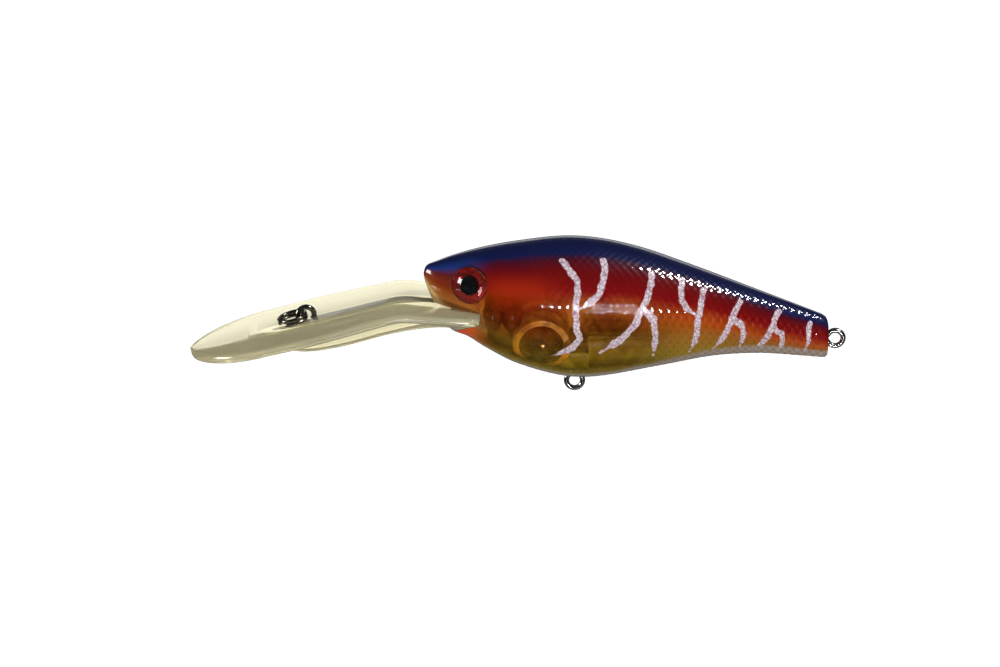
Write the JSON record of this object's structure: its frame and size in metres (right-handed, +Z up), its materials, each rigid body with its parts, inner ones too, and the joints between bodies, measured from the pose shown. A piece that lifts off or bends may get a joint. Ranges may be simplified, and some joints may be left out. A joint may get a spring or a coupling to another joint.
{
  "type": "crankbait lure",
  "caption": "Hollow deep-diving lure body with a long clear bill, wire eyes for line and hooks, a split ring, domed eyes and loose rattles inside.",
  "frame": {"origin": "centre of the line tie's eye, where the fishing line holds the lure", "axes": "+X from the line tie towards the tail, +Y towards the lure's right side, +Z up towards the back"},
  "size_m": [0.1137, 0.022, 0.028],
  "materials": {
    "painted_shell": "clear-coated translucent plastic, painted navy, red and amber with pale stripes",
    "clear_bill": "clear polished plastic with a smoky olive tint",
    "steel_wire": "bright nickel-plated spring wire",
    "ring_steel": "dark nickel-plated flat-wound wire",
    "red_foil": "metallic red foil",
    "black_pupil": "gloss black",
    "clear_dome": "clear cast resin dome",
    "ballast_metal": "dull dark metal",
    "knocker_steel": "polished steel ball",
    "brass_bead": "polished brass"
  },
  "bodies": {
    "lure": {"body_left": "painted_shell", "body_right": "painted_shell", "bill": "clear_bill", "line_tie_wire": "steel_wire", "belly_hanger": "steel_wire", "tail_hanger": "steel_wire", "eye_left_foil": "red_foil", "eye_left_pupil": "black_pupil", "eye_left_dome": "clear_dome", "eye_right_foil": "red_foil", "eye_right_pupil": "black_pupil", "eye_right_dome": "clear_dome", "ballast_ball_1": "ballast_metal", "ballast_ball_2": "ballast_metal"},
    "ring": {"split_ring": "ring_steel"},
    "knocker": {"knocker_ball": "knocker_steel"},
    "bead_1": {"rattle_bead_1": "brass_bead"},
    "bead_2": {"rattle_bead_2": "brass_bead"},
    "bead_3": {"rattle_bead_3": "brass_bead"},
    "bead_4": {"rattle_bead_4": "brass_bead"}
  },
  "joints": [
    {"name": "ring_swing", "type": "hinge", "parent": "lure", "child": "ring", "pos_m": [0, 0, 0], "axis": [0, 1, 0], "range_deg": [0, 180]},
    {"name": "knocker_roll", "type": "hinge", "parent": "lure", "child": "knocker", "pos_m": [0.04069, 0, -0.00407], "axis": [0, 1, 0], "continuous": true},
    {"name": "bead_1_slide", "type": "slide", "parent": "lure", "child": "bead_1", "axis": [1, 0, 0], "range_m": [0, 0.0028]},
    {"name": "bead_2_slide", "type": "slide", "parent": "lure", "child": "bead_2", "axis": [1, 0, 0], "range_m": [0, 0.0028]},
    {"name": "bead_3_slide", "type": "slide", "parent": "lure", "child": "bead_3", "axis": [1, 0, 0], "range_m": [0, 0.0028]},
    {"name": "bead_4_slide", "type": "slide", "parent": "lure", "child": "bead_4", "axis": [1, 0, 0], "range_m": [0, 0.0028]}
  ],
  "couplings": [
    {"joint": "bead_2_slide", "follows": "bead_1_slide", "ratio": 1},
    {"joint": "bead_3_slide", "follows": "bead_1_slide", "ratio": 1},
    {"joint": "bead_4_slide", "follows": "bead_1_slide", "ratio": 1}
  ]
}
